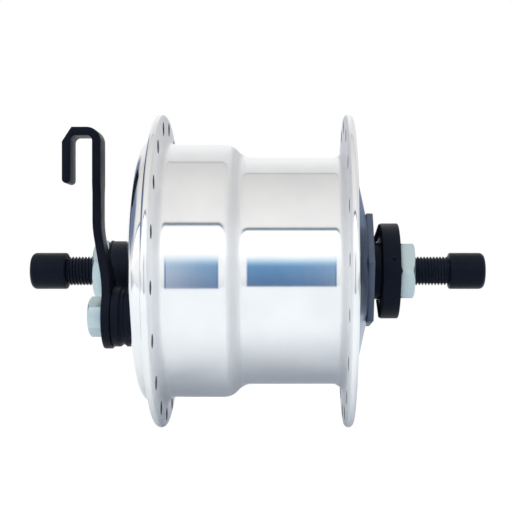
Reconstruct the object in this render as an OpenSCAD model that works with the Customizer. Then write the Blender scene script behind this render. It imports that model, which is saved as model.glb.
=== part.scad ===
// Front bicycle hub with a drum brake at one end and a dynamo at the other.
// The modules are drawn in a bench frame: z runs along the axle towards the brake, y is up and x points
// at the viewer. in_frame() stands each piece in the part's own frame, with the axle on Y, the brake at
// +Y, up at +Z and the origin on the axle half way between the two locknut faces.

/* [Axle] */
// Distance over the two locknut faces
over_locknuts = 100; // [90:0.5:112]
// Diameter over the axle thread
axle_d = 9; // [8.2:0.1:9.6]
// Depth by which the axle is turned down under nuts and caps
thread_relief = 0.3; // [0.2:0.05:0.5]
// Diameter of the bearing and stator seat
journal_d = 12; // [11.4:0.1:12.6]
// Diameter of the collar behind the brake plate
collar_d = 15; // [14:0.5:16]
// Bare thread between the brake locknut and its cap
bare_thread_brake = 8.9; // [6:0.1:14]
// Bare thread between the dynamo locknut and its cap
bare_thread_dynamo = 11.1; // [6:0.1:16]

/* [Nuts and caps] */
// Width across flats of both locknuts
locknut_af = 17; // [16:0.5:19]
// Thickness of the brake locknut
brake_nut_t = 5; // [4:0.1:6]
// Thickness of the dynamo locknut
dynamo_nut_t = 5; // [4:0.1:6]
// Thickness of the washer under the brake locknut
washer_t = 0.6; // [0.4:0.1:1]
// Outside diameter of the rubber end caps
cap_d = 11.4; // [10.8:0.1:14]
// Length of an end cap
cap_len = 11.2; // [9:0.1:18]
// Thickness of an end cap's closed end
cap_end_t = 2; // [1:0.1:3]

/* [Shell] */
// Height of both spoke flanges over the wide barrel
flange_height = 9.35; // [8:0.05:12]
// Thickness of a flange
flange_t = 2.7; // [2.4:0.1:3.4]
// Distance from the lip's face to the middle of the brake-side flange
lip_height = 5.85; // [5:0.05:7]
// Distance from the hexagon to the middle of the dynamo-side flange
cone_height = 5.45; // [4.8:0.05:6.6]
// Distance from a flange's rim to its circle of spoke holes
spoke_edge = 3.95; // [3.4:0.05:4.6]
// Diameter of a spoke hole
spoke_hole_d = 3.3; // [2.6:0.1:3.6]
// Spoke holes in each flange
spokes_per_flange = 18; // [14:1:20]
// Wall of the shell outside the drum's liner
drum_wall = 2.6; // [2.2:0.1:3.4]
// Step in radius from the wide barrel down to the narrow one
barrel_step = 4; // [3:0.1:5]
// How far past the drum's floor the wide barrel starts to draw in
step_lead = 0.1; // [0:0.1:1.5]
// Length of the curve between the two barrels
step_len = 8.7; // [7:0.1:10]
// Fillet between a barrel and its flange
flange_fillet = 3.6; // [2:0.1:3.7]
// How far the lip round the drum's mouth stands over the wide barrel
lip_stand = 1.9; // [1.4:0.1:2.6]
// Rounding of the lip
lip_round = 4.2; // [3:0.1:4.4]
// Wall of the barrel over the dynamo
dynamo_wall = 3.3; // [2.8:0.1:3.8]

/* [Drum brake] */
// Diameter of the braking surface
drum_d = 70; // [60:0.1:90]
// Thickness of the steel liner
liner_t = 2; // [1.6:0.1:2.2]
// Depth of the drum behind the brake plate's hub
drum_depth = 25.1; // [24.4:0.1:26]
// Thickness of the web between drum and dynamo
web_t = 4.5; // [4:0.1:5]
// Thickness of the brake plate at its rim
plate_t = 2.4; // [2:0.1:2.8]
// Thickness of the brake plate at the axle
plate_hub_t = 3.4; // [3:0.1:4]
// How far the brake plate's hub stands out past its rim
plate_dish = 3.4; // [2.8:0.1:3.8]
// Distance in from the braking surface to the cam, and to the anchor pin
cam_inset = 10.8; // [10:0.1:12]
// Angle of the cam below the viewer's direction
cam_angle = 34.4; // [25:0.1:45]
// Diameter of the cam spindle
spindle_d = 8; // [7:0.1:8.4]
// Half the length of the flat cam
cam_half_len = 4; // [3.6:0.1:4.2]
// Half the thickness of the flat cam
cam_half_t = 3; // [2.6:0.1:3.4]
// Diameter of the anchor pin
anchor_d = 8; // [7:0.1:8.6]
// Thickness of a brake lining
lining_t = 3; // [2.4:0.1:3.4]
// Width of a brake lining
lining_w = 17; // [15:0.5:18]
// Running gap between lining and drum with the brake off
lining_gap = 0.5; // [0.45:0.05:0.8]
// Arc that a lining covers
lining_arc = 130; // [110:1:134]
// Thickness of the rim of a brake shoe
shoe_rim_t = 2.5; // [2:0.1:3]
// Thickness of the web of a brake shoe
shoe_web_t = 5; // [4:0.1:5.6]
// Wire of the two return springs
spring_wire_d = 1.2; // [1:0.1:1.4]
// Turns of a return spring
spring_turns = 9; // [7:1:10]

/* [Brake arm] */
// Thickness of the brake arm strip
arm_t = 2.5; // [2:0.1:3]
// Diameter of the arm's round end on the cam
arm_end_d = 19; // [17:0.1:20]
// Width of the arm's neck
arm_neck_w = 7.7; // [7:0.1:9]
// Width of the arm's hook
arm_hook_w = 9; // [8:0.1:10]
// How far the arm is set outwards between cam and hook
arm_set = 3.25; // [2:0.05:4]
// Height over which the arm is set outwards
set_rise = 22; // [18:1:28]
// Height of the hook's top above the axle
hook_top = 42.5; // [40:0.1:44]
// Clear width of the hook
hook_gap = 6.4; // [5.5:0.1:8]
// Inside bend radius of the hook
hook_bend = 1.6; // [1.2:0.1:2]
// Length of the hook's free tine
tine_len = 16.6; // [13:0.1:18]
// How far the cam bush holds the arm off the brake plate's hub
bush_stand = 3.4; // [3:0.1:4]
// Diameter of the bush round the cam spindle
cam_bush_d = 17.8; // [16.5:0.1:18.4]
// Width across flats of the cam nut
cam_nut_af = 10.5; // [10:0.1:12]
// Thickness of the cam nut
cam_nut_t = 4.6; // [4:0.1:5.5]

/* [Reaction arm] */
// Diameter of the arm's eye on the axle
reaction_eye_d = 18.8; // [18:0.1:22]
// Height of the arm's eye, from brake plate to washer
reaction_eye_t = 6.4; // [5.6:0.1:7]
// Thickness of the reaction arm
reaction_t = 4; // [3.5:0.1:4.6]
// Distance from the axle to the strap hole
reaction_reach = 75; // [65:1:90]
// Width of the arm at the axle
reaction_w = 17; // [15:0.1:18]
// Width of the arm at the strap hole
reaction_tip_w = 14; // [12:0.1:16]
// Diameter of the strap hole
strap_hole_d = 6.5; // [5.5:0.1:7]
// Shank diameter of the two rivets
rivet_d = 5; // [4:0.1:5.6]
// Distance between the two rivets
rivet_pitch = 8.9; // [8.4:0.1:10]

/* [Bearings] */
// Outside diameter of both bearings
bearing_d = 28; // [27.4:0.1:28.4]
// Width of both bearings
bearing_w = 8; // [7.6:0.1:8.6]
// Diameter of a ball
ball_d = 4.76; // [4.5:0.01:4.8]
// Balls in a bearing
balls = 8; // [6:1:9]

/* [Dynamo] */
// Magnet poles, twice the claws of one stator plate
poles = 28; // [20:2:30]
// Thickness of the magnets
magnet_t = 3.2; // [2.8:0.1:3.6]
// How much shorter the magnets are than the stator
magnet_short = 2.5; // [2:0.1:5]
// Thickness of the steel ring behind the magnets
flux_ring_t = 1.95; // [1.6:0.05:2.2]
// Gap between magnets and claws
air_gap = 0.5; // [0.4:0.05:0.8]
// Thickness of a claw
claw_t = 2; // [1.6:0.1:2.4]
// Length of the spacer between the stator and the right bearing
spacer_len = 5; // [4.4:0.1:7]
// Thickness of a claw plate
claw_plate_t = 1.6; // [1.2:0.1:2]
// Outside diameter of the stator core
core_d = 20; // [18:0.1:22]

/* [Dynamo end] */
// Width across flats of the hexagonal cap
hex_af = 33.6; // [33:0.1:36]
// Thickness of the hexagon
hex_t = 2.1; // [1.8:0.1:2.8]
// Length of the cap's thread in the cover
hex_spigot = 2.7; // [2.2:0.1:3]
// Width of the cover's face round the hexagon's thread
cone_rim = 2.2; // [1.6:0.1:3]
// How far the edge of the cover stands out of the shell
cover_proud = 0.8; // [0.4:0.1:1.2]
// Diameter of the sleeve that clamps the bearing
sleeve_d = 17.9; // [17.4:0.1:18.2]
// Length of sleeve seen between hexagon and terminal ring
sleeve_show = 2.6; // [2.2:0.1:3]
// Diameter of the terminal ring
ring_d = 30; // [28:0.1:34]
// Thickness of the terminal ring
ring_t = 5.6; // [5.4:0.1:6.6]
// Width of a terminal blade
blade_w = 4.8; // [4:0.1:4.8]
// Thickness of a terminal blade
blade_t = 0.8; // [0.6:0.05:1]
// Length of blade standing out of the ring
blade_show = 6.5; // [5:0.1:8]

/* [Hidden] */
$fn = 96;
eps = 0.01;
// Clearances: a seat, a turning fit and a gap between pieces that pass each other
seat_gap = 0.03;
turn_gap = 0.05;
pass_gap = 0.35;

axle_r = axle_d / 2;
relief_r = axle_r - thread_relief;
journal_r = journal_d / 2;
collar_r = collar_d / 2;

// Stations along the axle at the brake end, from the locknut face inwards
nut_b_out = over_locknuts / 2;
nut_b_in = nut_b_out - brake_nut_t;
washer_in = nut_b_in - washer_t;
plate_out = washer_in - reaction_eye_t;
strip_out = plate_out + reaction_t;
plate_in = plate_out - plate_hub_t;
plate_rim_out = plate_out - plate_dish;
plate_rim_in = plate_rim_out - plate_t;
drum_floor = plate_in - drum_depth;
web_in = drum_floor - web_t;

// Stations at the dynamo end, from the locknut face inwards
nut_d_out = -over_locknuts / 2;
ring_out = nut_d_out + dynamo_nut_t;
ring_in = ring_out + ring_t;
hex_out = ring_in + sleeve_show;
hex_in = hex_out + hex_t;

// Bearings
bearing_r = bearing_d / 2;
race_lip = 1;
left_bearing = web_in + race_lip;
left_bearing_out = left_bearing + bearing_w;
right_bearing = hex_in + hex_spigot;
right_bearing_in = right_bearing + bearing_w;
pitch_r = (journal_r + bearing_r) / 2;
ball_r = ball_d / 2;
shoulder = 1.4;
inner_race_r = pitch_r - shoulder;
outer_race_r = pitch_r + shoulder;
race_lip_r = bearing_r - 1.6;
housing_r = bearing_r + 4;
circlip_t = 1.2;
circlip_deep = 1.2;
seal_t = 0.7;

// Shell, from the braking surface outwards
drum_r = drum_d / 2;
mouth_r = drum_r + liner_t;
drum_barrel_r = mouth_r + drum_wall;
dynamo_barrel_r = drum_barrel_r - barrel_step;
cavity_r = dynamo_barrel_r - dynamo_wall;
flange_r = drum_barrel_r + flange_height;
flange_b = plate_rim_out - lip_height;
flange_dy = hex_in + cone_height;
spoke_r = flange_r - spoke_edge;
spoke_turn = 84;
lip_r = drum_barrel_r + lip_stand;
step_z = drum_floor - step_lead;
step_end = step_z - step_len;
step_half = barrel_step / 2;
step_r = (pow(step_len / 2, 2) + pow(step_half, 2)) / (2 * step_half);
shell_end = flange_dy - flange_t / 2;

// Brake
cam_turn = -cam_angle;
cam_r = drum_r - cam_inset;
cam_x = cam_r * cos(cam_turn);
cam_y = cam_r * sin(cam_turn);
spindle_r = spindle_d / 2;
anchor_r = anchor_d / 2;
lining_r = drum_r - lining_gap;
rim_r = lining_r - lining_t;
web_r = rim_r - shoe_rim_t;
web_inner_r = cam_r - 1.7;
shoe_z = (drum_floor + plate_rim_in) / 2;
shoe_eye_r = anchor_r + 4;
shoe_split = 0.45;
web_top = shoe_z + shoe_web_t / 2;
cam_top = web_top + 1.5;
spring_coil_r = 2.4;
spring_room = 3;
spring_u = collar_r + spring_room + spring_coil_r + spring_wire_d / 2;
spring_z = web_top + spring_coil_r + spring_wire_d;
spring_hole_v = sqrt(pow((web_inner_r + web_r) / 2, 2) - pow(spring_u, 2));

// Reaction arm
rivet_first = reaction_eye_d / 2 + rivet_d * 1.24;
rivet_last = rivet_first + rivet_pitch;
countersink = 0.7;

// Brake arm
arm_in = plate_out + bush_stand;
arm_out = arm_in + arm_t;
neck_in = arm_in + arm_set;
neck_out = neck_in + arm_t;
tine_in = neck_out + hook_gap;
tine_out = tine_in + arm_t;
square_w = spindle_d * 0.75;
stud_r = square_w / 2;
cam_nut_out = arm_out + cam_nut_t;

// Dynamo
magnet_r = cavity_r - flux_ring_t;
magnet_in_r = magnet_r - magnet_t;
stator_r = magnet_in_r - air_gap;
claw_in_r = stator_r - claw_t;
stator_left = web_in - 1.5;
stator_right = right_bearing_in + spacer_len;
stator_len = stator_left - stator_right;
magnet_len = stator_len - magnet_short;
core_left = stator_left - claw_plate_t;
core_right = stator_right + claw_plate_t;
magnet_mid = (stator_left + stator_right) / 2;
claws = poles / 2;
core_r = core_d / 2;
bobbin_wall = 1.1;
bobbin_r = claw_in_r - 0.4;
spacer_r = journal_r + 2.5;
key_w = 3;
key_len = stator_len / 2;
lead_r = 0.45;
lead_gap = 0.65;
lead_hole = 3;
lead_coil_x = core_r + 3;
lead_groove_x = axle_r - 0.75;
lead_turn_z = stator_right - 1.6;

// Dynamo end
sleeve_r = sleeve_d / 2;
spigot_r = bearing_r + 2;
cone_r = spigot_r + cone_rim;
hex_bore_r = sleeve_r + pass_gap;
ring_r = ring_d / 2;
ring_mid = (ring_in + ring_out) / 2;
blade_y = 4;
chamber_wall = 3.5;
chamber_x = ring_r - chamber_wall;

// Bench frame to part frame
module in_frame() { rotate([90, 0, 180]) children(); }

// A round piece from z0 to z1
module turned(r, z0, z1) { translate([0, 0, z0]) cylinder(r = r, h = z1 - z0); }

// A washer or tube from z0 to z1
module tube(r_out, r_in, z0, z1) {
  difference() {
    turned(r_out, z0, z1);
    turned(r_in, z0 - 1, z1 + 1);
  }
}

// A box given by its low and high corners
module box(lo, hi) { translate(lo) cube(hi - lo); }

// A rectangle of a lathe profile: radius from r0 to r1, station from z0 to z1
module band(r0, r1, z0, z1) { translate([r0, z0]) square([r1 - r0, z1 - z0]); }

// A hexagon with its corners turned down on the faces that are named
module hexagon(af, z0, z1, turn, crown) {
  corner = af / 2 / cos(30);
  low = af / 2 - 0.3;
  rotate(turn) intersection() {
    translate([0, 0, z0]) cylinder(r = corner, h = z1 - z0, $fn = 6);
    rotate_extrude() polygon([
      [0, z0], [corner - (crown[0] ? corner - low : 0), z0],
      [corner, z0 + (crown[0] ? (corner - low) * tan(30) : 0)],
      [corner, z1 - (crown[1] ? (corner - low) * tan(30) : 0)],
      [corner - (crown[1] ? corner - low : 0), z1], [0, z1]
    ]);
  }
}

// The axle: a journal for bearings and stator, a collar that backs the brake plate and two threaded ends
module axle() {
  chamfer = 0.8;
  end_gap = 0.3;
  end_b = nut_b_out + bare_thread_brake + cap_len - cap_end_t - end_gap;
  end_d = nut_d_out - bare_thread_dynamo - cap_len + cap_end_t + end_gap;
  journal_end = right_bearing + 0.3;
  color([0.12, 0.12, 0.13]) difference() {
    rotate_extrude() polygon([
      [0, end_d], [relief_r - chamfer, end_d], [relief_r, end_d + chamfer],
      [relief_r, nut_d_out - bare_thread_dynamo], [axle_r, nut_d_out - bare_thread_dynamo],
      [axle_r, nut_d_out], [relief_r, nut_d_out], [relief_r, ring_out], [axle_r, ring_out],
      [axle_r, journal_end], [journal_r, journal_end], [journal_r, left_bearing_out],
      [collar_r, left_bearing_out], [collar_r, plate_in], [axle_r, plate_in], [axle_r, nut_b_in],
      [relief_r, nut_b_in], [relief_r, nut_b_out], [axle_r, nut_b_out],
      [axle_r, nut_b_out + bare_thread_brake], [relief_r, nut_b_out + bare_thread_brake],
      [relief_r, end_b - chamfer], [relief_r - chamfer, end_b], [0, end_b]
    ]);
    key_seat();
    box([-axle_d, -lead_hole / 2, ring_out + 1],
      [-lead_groove_x + lead_r + 0.15, lead_hole / 2, lead_turn_z + 1]);
  }
}

// Space of the stator key
module key_seat() {
  box([journal_r - key_w / 2, -key_w / 2, magnet_mid - key_len / 2],
    [journal_r + key_w / 2, key_w / 2, magnet_mid + key_len / 2]);
}

module stator_key() { color("silver") key_seat(); }

// The dished plate that closes the drum and carries cam and anchor
module brake_plate() {
  rim_r = mouth_r - pass_gap;
  hub_r = reaction_eye_d / 2 + 2.6;
  pad_len = rivet_last + rivet_d * 0.9;
  pad_w = reaction_w - 1;
  knee_r = cam_r + cam_bush_d * 0.42;
  knee_drop = plate_dish * 0.62;
  color([0.83, 0.84, 0.86]) difference() {
    union() {
      rotate_extrude() difference() {
        polygon([
          [axle_r + seat_gap, plate_in], [hub_r, plate_in],
          [rim_r - 1, plate_rim_in], [rim_r, plate_rim_in],
          [rim_r, plate_rim_out - 0.4], [rim_r - 0.6, plate_rim_out], [knee_r, plate_out - knee_drop],
          [cam_r, plate_out - knee_drop * 0.42], [hub_r, plate_out], [axle_r + seat_gap, plate_out]
        ]);
      }
      // pad under the reaction arm
      box([-pad_len, -pad_w / 2, plate_in - 0.4], [-hub_r + 4, pad_w / 2, plate_out]);
      // bosses on the inside for cam bush and anchor pin
      rotate(cam_turn) for (side = [-1, 1])
        translate([side * cam_r, 0, 0])
          turned(cam_bush_d / 2 - 1, plate_rim_in - 1.5, plate_out - knee_drop);
    }
    rotate(cam_turn) translate([cam_r, 0, 0]) {
      turned(spindle_r + 1.4, 0, over_locknuts);
      turned(cam_bush_d / 2 + seat_gap, plate_rim_in + 0.6, over_locknuts);
    }
    rotate(cam_turn) translate([-cam_r, 0, 0])
      turned(anchor_r - 1 + seat_gap, plate_rim_in - 2, plate_rim_out);
    rivet_places() turned(rivet_d / 2, 0, over_locknuts);
    rivet_places() turned(rivet_d / 2 + 1.3, 0, plate_in - 0.4 + eps);
  }
}

// The two rivets stand in line behind the axle
module rivet_places() {
  for (reach = [rivet_first, rivet_last]) translate([-reach, 0, 0]) children();
}

module arm_rivets() {
  head_r = rivet_d / 2 + 1.3;
  rivet_in = plate_in - 0.4;
  color("silver") rivet_places() rotate_extrude() polygon([
    [0, rivet_in], [rivet_d / 2, rivet_in], [rivet_d / 2, strip_out], [head_r, strip_out],
    [head_r, strip_out + 0.7], [head_r - 1.2, strip_out + 1.6], [0, strip_out + 1.6]
  ]);
}

// The flat arm that holds the brake plate against the fork, forged with a taller eye
module reaction_arm() {
  tip_r = reaction_tip_w / 2;
  color([0.08, 0.08, 0.09]) difference() {
    union() {
      turned(reaction_eye_d / 2, plate_out, washer_in);
      translate([0, 0, plate_out]) linear_extrude(reaction_t) union() {
        polygon([
          [0, -reaction_w / 2], [0, reaction_w / 2], [-reaction_reach, tip_r], [-reaction_reach, -tip_r]
        ]);
        translate([-reaction_reach, 0]) circle(tip_r);
      }
    }
    turned(axle_r + seat_gap, 0, over_locknuts);
    rivet_places() turned(rivet_d / 2, 0, over_locknuts);
    translate([-reaction_reach, 0, 0]) turned(strap_hole_d / 2, 0, over_locknuts);
  }
}

module locknut_washer() {
  color([0.05, 0.05, 0.06]) tube(reaction_eye_d / 2 + 0.2, axle_r + seat_gap, washer_in, nut_b_in);
}

// Bore of a locknut, countersunk at its outer face so that the axle's thread stands clear
module nut_bore() {
  bore_r = relief_r + seat_gap;
  lead_in = 0.2;
  turned(bore_r, 0, over_locknuts);
  translate([0, 0, nut_b_out - countersink - lead_in])
    cylinder(r1 = bore_r - lead_in, r2 = bore_r + countersink + 1, h = countersink + lead_in + 1);
}

module brake_locknut() {
  flat_turn = -42.9;
  color([0.75, 0.8, 0.82]) difference() {
    hexagon(locknut_af, nut_b_in, nut_b_out, flat_turn, [true, true]);
    nut_bore();
  }
}

module dynamo_locknut() {
  color([0.75, 0.8, 0.82]) difference() {
    hexagon(locknut_af, nut_d_out, ring_out, 0, [true, true]);
    mirror([0, 0, 1]) nut_bore();
  }
}

// Ball bearings, drawn from the station of their inner end
module ball_track(z) { translate([pitch_r, z + bearing_w / 2]) circle(ball_r + turn_gap); }

module inner_race(z) {
  color("silver") rotate_extrude() difference() {
    band(journal_r, inner_race_r, z, z + bearing_w);
    ball_track(z);
  }
}

module outer_race(z) {
  color("silver") rotate_extrude() difference() {
    band(outer_race_r, bearing_r, z, z + bearing_w);
    ball_track(z);
  }
}

module ball_places(z) {
  for (i = [0 : balls - 1]) rotate(i * 360 / balls) translate([pitch_r, 0, z + bearing_w / 2]) children();
}

module ball_set(z) { color("silver") ball_places(z) sphere(ball_r); }

// Snap-in cage: a ring beside the balls with fingers between them
module ball_cage(z, outwards) {
  pocket = ball_r + 0.12;
  mid = z + bearing_w / 2;
  back = pocket + 0.42;
  front = 1.5;
  color([0.6, 0.45, 0.2]) difference() {
    tube(pitch_r + 0.8, pitch_r - 0.8,
      mid - (outwards > 0 ? front : back), mid + (outwards > 0 ? back : front));
    ball_places(z) sphere(pocket);
  }
}

// Seal on the outer race at the bearing's open side
module seal(z) { color([0.1, 0.1, 0.1]) tube(outer_race_r, inner_race_r + pass_gap, z, z + seal_t); }

module left_inner_race() { inner_race(left_bearing); }
module left_outer_race() { outer_race(left_bearing); }
module left_balls() { ball_set(left_bearing); }
module left_cage() { ball_cage(left_bearing, 1); }
module left_seal() { seal(left_bearing_out - seal_t); }
module right_inner_race() { inner_race(right_bearing); }
module right_outer_race() { outer_race(right_bearing); }
module right_balls() { ball_set(right_bearing); }
module right_cage() { ball_cage(right_bearing, -1); }
module right_seal() { seal(right_bearing); }

// Spring ring that holds the left bearing in the web
module bearing_circlip() {
  color([0.2, 0.2, 0.22]) difference() {
    tube(bearing_r + circlip_deep - 0.1, race_lip_r,
      left_bearing_out, left_bearing_out + circlip_t - 0.1);
    box([0, -2.5, left_bearing_out - 1], [bearing_d, 2.5, left_bearing_out + circlip_t + 1]);
  }
}

// Spacers keep the stator between the inner races
module left_spacer() { color("silver") tube(spacer_r, journal_r + seat_gap, stator_left, left_bearing); }

module right_spacer() {
  color("silver") difference() {
    tube(spacer_r, journal_r + seat_gap, right_bearing_in, stator_right);
    box([-spacer_r - 1, -lead_hole / 2, lead_turn_z - 1], [0, lead_hole / 2, stator_right + 1]);
  }
}

// One claw plate: a disc whose fingers reach along the magnets, tapering towards their tips
module claw_plate(z_face, into, turn) {
  reach = stator_len - claw_plate_t - 1.2;
  root_w = PI * 2 * stator_r / poles * 0.72;
  tip_w = root_w * 0.62;
  low = min(z_face, z_face + into * claw_plate_t);
  high = max(z_face, z_face + into * claw_plate_t);
  color([0.45, 0.46, 0.48]) difference() {
    union() {
      tube(claw_in_r - 2, journal_r + seat_gap, low, high);
      intersection() {
        tube(stator_r, claw_in_r - 3, z_face - stator_len, z_face + stator_len);
        for (i = [0 : claws - 1]) rotate(turn + i * 360 / claws) union() {
          box([claw_in_r - 3, -root_w / 2, low], [stator_r + 1, root_w / 2, high]);
          translate([claw_in_r, 0, z_face]) rotate([90, 0, 90]) linear_extrude(claw_t + 1) polygon([
            [-root_w / 2, 0], [root_w / 2, 0], [tip_w / 2, into * reach], [-tip_w / 2, into * reach]
          ]);
        }
      }
    }
    translate([-lead_coil_x, 0, 0]) turned(lead_hole / 2, stator_right - 1, magnet_mid);
  }
}

module stator_claws_left() { claw_plate(stator_left, -1, 90 / claws); }
module stator_claws_right() { claw_plate(stator_right, 1, 270 / claws); }

module stator_core() {
  color([0.45, 0.46, 0.48]) difference() {
    tube(core_r, journal_r + seat_gap, core_right, core_left);
    key_seat();
  }
}

module coil_bobbin() {
  flange = bobbin_wall;
  color([0.9, 0.88, 0.8]) difference() {
    rotate_extrude() difference() {
      band(core_r + seat_gap, bobbin_r, core_right, core_left);
      band(core_r + bobbin_wall, bobbin_r + 1, core_right + flange, core_left - flange);
    }
    translate([-lead_coil_x, 0, 0]) turned(lead_hole / 2, core_right - 1, core_right + flange + eps);
  }
}

module coil_winding() {
  color([0.72, 0.4, 0.18])
    tube(bobbin_r - 0.8, core_r + bobbin_wall, core_right + bobbin_wall, core_left - bobbin_wall);
}

// Two leads run from the coil, down beside the stator and along the axle's groove to the terminals
module coil_leads() {
  route = [
    [-lead_coil_x, core_right + bobbin_wall - lead_r], [-lead_coil_x, lead_turn_z],
    [-lead_groove_x, lead_turn_z], [-lead_groove_x, ring_mid], [-chamber_x + 1.2, ring_mid]
  ];
  color([0.75, 0.3, 0.12]) for (side = [-1, 1]) translate([0, side * lead_gap, 0]) {
    for (i = [0 : len(route) - 2])
      wire([route[i][0], 0, route[i][1]], [route[i + 1][0], 0, route[i + 1][1]]);
    wire([-chamber_x + 1.2, 0, ring_mid],
      [-chamber_x + 1.2, side * (blade_y - blade_t / 2 - lead_gap), ring_mid]);
  }
}

// A straight run of lead with a round start
module wire(from, to) {
  run = to - from;
  translate(from) {
    sphere(lead_r, $fn = 24);
    rotate([0, acos(run[2] / norm(run)), atan2(run[1], run[0])])
      cylinder(r = lead_r, h = norm(run), $fn = 24);
  }
}

// Steel sleeve between the right inner race and the terminal ring
module clamp_sleeve() {
  nose_r = sleeve_r - 0.55;
  nose = 0.8;
  color([0.1, 0.1, 0.11]) rotate_extrude() polygon([
    [axle_r + seat_gap, ring_in], [sleeve_r, ring_in], [sleeve_r, right_bearing - nose],
    [nose_r, right_bearing - nose], [nose_r, right_bearing], [axle_r + seat_gap, right_bearing]
  ]);
}

// Moulded ring that carries the two blades, with a leg to the sleeve at its top and a short one below
module terminal_ring() {
  bevel = 0.25;
  color([0.06, 0.06, 0.07]) difference() {
    union() {
      rotate_extrude() polygon([
        [axle_r + seat_gap, ring_out], [ring_r - bevel, ring_out], [ring_r, ring_out + bevel],
        [ring_r, ring_in - bevel], [ring_r - bevel, ring_in], [axle_r + seat_gap, ring_in]
      ]);
      ring_leg(90, sleeve_r + seat_gap, sleeve_show * 0.4, sleeve_show - pass_gap);
      ring_leg(270, sleeve_r + 0.15, sleeve_show * 0.2, sleeve_show * 0.4);
    }
    // chamber for the leads, slots for the blades and the gate mark on the rim
    box([-chamber_x, -blade_y - 1, ring_mid - 1.2], [0, blade_y + 1, ring_mid + 1.2]);
    for (side = [-1, 1]) blade_space(side, seat_gap);
    rotate(13) translate([ring_r - 0.6, 0, ring_out + 2.2]) rotate([0, 90, 0]) cylinder(r = 0.5, h = 2);
  }
}

// Slanting leg from the ring's rim in to the sleeve, its tip reaching from one station to another
module ring_leg(turn, tip_r, tip_from, tip_to) {
  leg_w = 3;
  root = 2.2;
  rotate(turn) rotate([90, 0, 0]) linear_extrude(leg_w, center = true) polygon([
    [ring_r - 0.3, ring_in - eps], [ring_r - 0.3, ring_in + 0.3], [tip_r, ring_in + tip_to],
    [tip_r, ring_in + tip_from], [tip_r + root, ring_in - eps]
  ]);
}

// Space of one blade
module blade_space(side, gap) {
  box([-ring_r - blade_show, side * blade_y - blade_t / 2 - gap, ring_mid - blade_w / 2 - gap],
    [-chamber_x + 2.4, side * blade_y + blade_t / 2 + gap, ring_mid + blade_w / 2 + gap]);
}

module terminal_blades() {
  color([0.8, 0.78, 0.7]) for (side = [-1, 1]) blade_space(side, 0);
}

// Outline of the shell from barrel to flanges, as a lathe profile
module shell_outline() {
  mid_z = (step_z + step_end) / 2;
  mid_r = (drum_barrel_r + dynamo_barrel_r) / 2;
  // the two barrels and the curve between them
  band(0, drum_barrel_r, step_z, flange_b);
  band(0, dynamo_barrel_r, flange_dy, step_end);
  intersection() {
    translate([drum_barrel_r - step_r, step_z]) circle(step_r);
    band(0, drum_barrel_r + 1, mid_z, step_z);
  }
  band(0, drum_barrel_r - step_r, mid_z, step_z);
  difference() {
    band(0, mid_r, step_end, mid_z);
    translate([dynamo_barrel_r + step_r, step_end]) circle(step_r);
  }
  // flanges with round rims
  for (z = [flange_b, flange_dy]) {
    band(0, flange_r - flange_t / 2, z - flange_t / 2, z + flange_t / 2);
    translate([flange_r - flange_t / 2, z]) circle(flange_t / 2);
  }
  // fillets against the flanges
  fillet(drum_barrel_r, flange_b - flange_t / 2, -1);
  fillet(dynamo_barrel_r, flange_dy + flange_t / 2, 1);
  // lip round the drum's mouth
  band(0, lip_r, flange_b, plate_rim_out - lip_round);
  band(0, lip_r - lip_round, plate_rim_out - lip_round - 1, plate_rim_out);
  intersection() {
    translate([lip_r - lip_round, plate_rim_out - lip_round]) circle(lip_round);
    band(0, lip_r + 1, plate_rim_out - lip_round, plate_rim_out);
  }
}

// Concave fillet on a barrel of radius r beside the flange face at z
module fillet(r, z, away) {
  difference() {
    band(r - 1, r + flange_fillet, min(z, z + away * flange_fillet), max(z, z + away * flange_fillet));
    translate([r + flange_fillet, z + away * flange_fillet]) circle(flange_fillet);
  }
}

// Cavities of the shell: the drum, the dynamo and the bearing seat in the web
module shell_cavities() {
  seat_end = left_bearing_out + circlip_t + 1;
  band(housing_r, mouth_r, drum_floor, over_locknuts);
  band(0, mouth_r, seat_end, over_locknuts);
  band(0, bearing_r, left_bearing, seat_end + 1);
  band(0, bearing_r + circlip_deep, left_bearing_out, left_bearing_out + circlip_t);
  band(0, race_lip_r, web_in - 1, seat_end);
  band(0, cavity_r, -over_locknuts, web_in);
}

module spoke_holes(z, turn) {
  for (i = [0 : spokes_per_flange - 1]) rotate(turn + i * 360 / spokes_per_flange)
    translate([spoke_r, 0, z - flange_t]) cylinder(d = spoke_hole_d, h = 2 * flange_t);
}

module hub_shell() {
  half_hole = 180 / spokes_per_flange;
  color([0.85, 0.86, 0.88]) difference() {
    rotate_extrude() difference() {
      shell_outline();
      shell_cavities();
    }
    spoke_holes(flange_b, spoke_turn + half_hole);
    spoke_holes(flange_dy, spoke_turn);
  }
}

// Steel ring that the linings rub on
module drum_liner() {
  color([0.5, 0.5, 0.52]) tube(mouth_r, drum_r, drum_floor, plate_rim_in - 0.8);
}

module flux_ring() {
  color([0.5, 0.5, 0.52]) tube(cavity_r, magnet_r, magnet_mid - magnet_len / 2, web_in);
}

// Arc magnets, one to a pole
module magnets() {
  pole_gap = 0.3;
  color([0.2, 0.2, 0.22]) difference() {
    tube(magnet_r, magnet_in_r, magnet_mid - magnet_len / 2, magnet_mid + magnet_len / 2);
    for (i = [0 : poles - 1]) rotate((i + 0.5) * 360 / poles)
      box([magnet_in_r - 1, -pole_gap / 2, magnet_mid - magnet_len],
        [magnet_r + 1, pole_gap / 2, magnet_mid + magnet_len]);
  }
}

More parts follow.
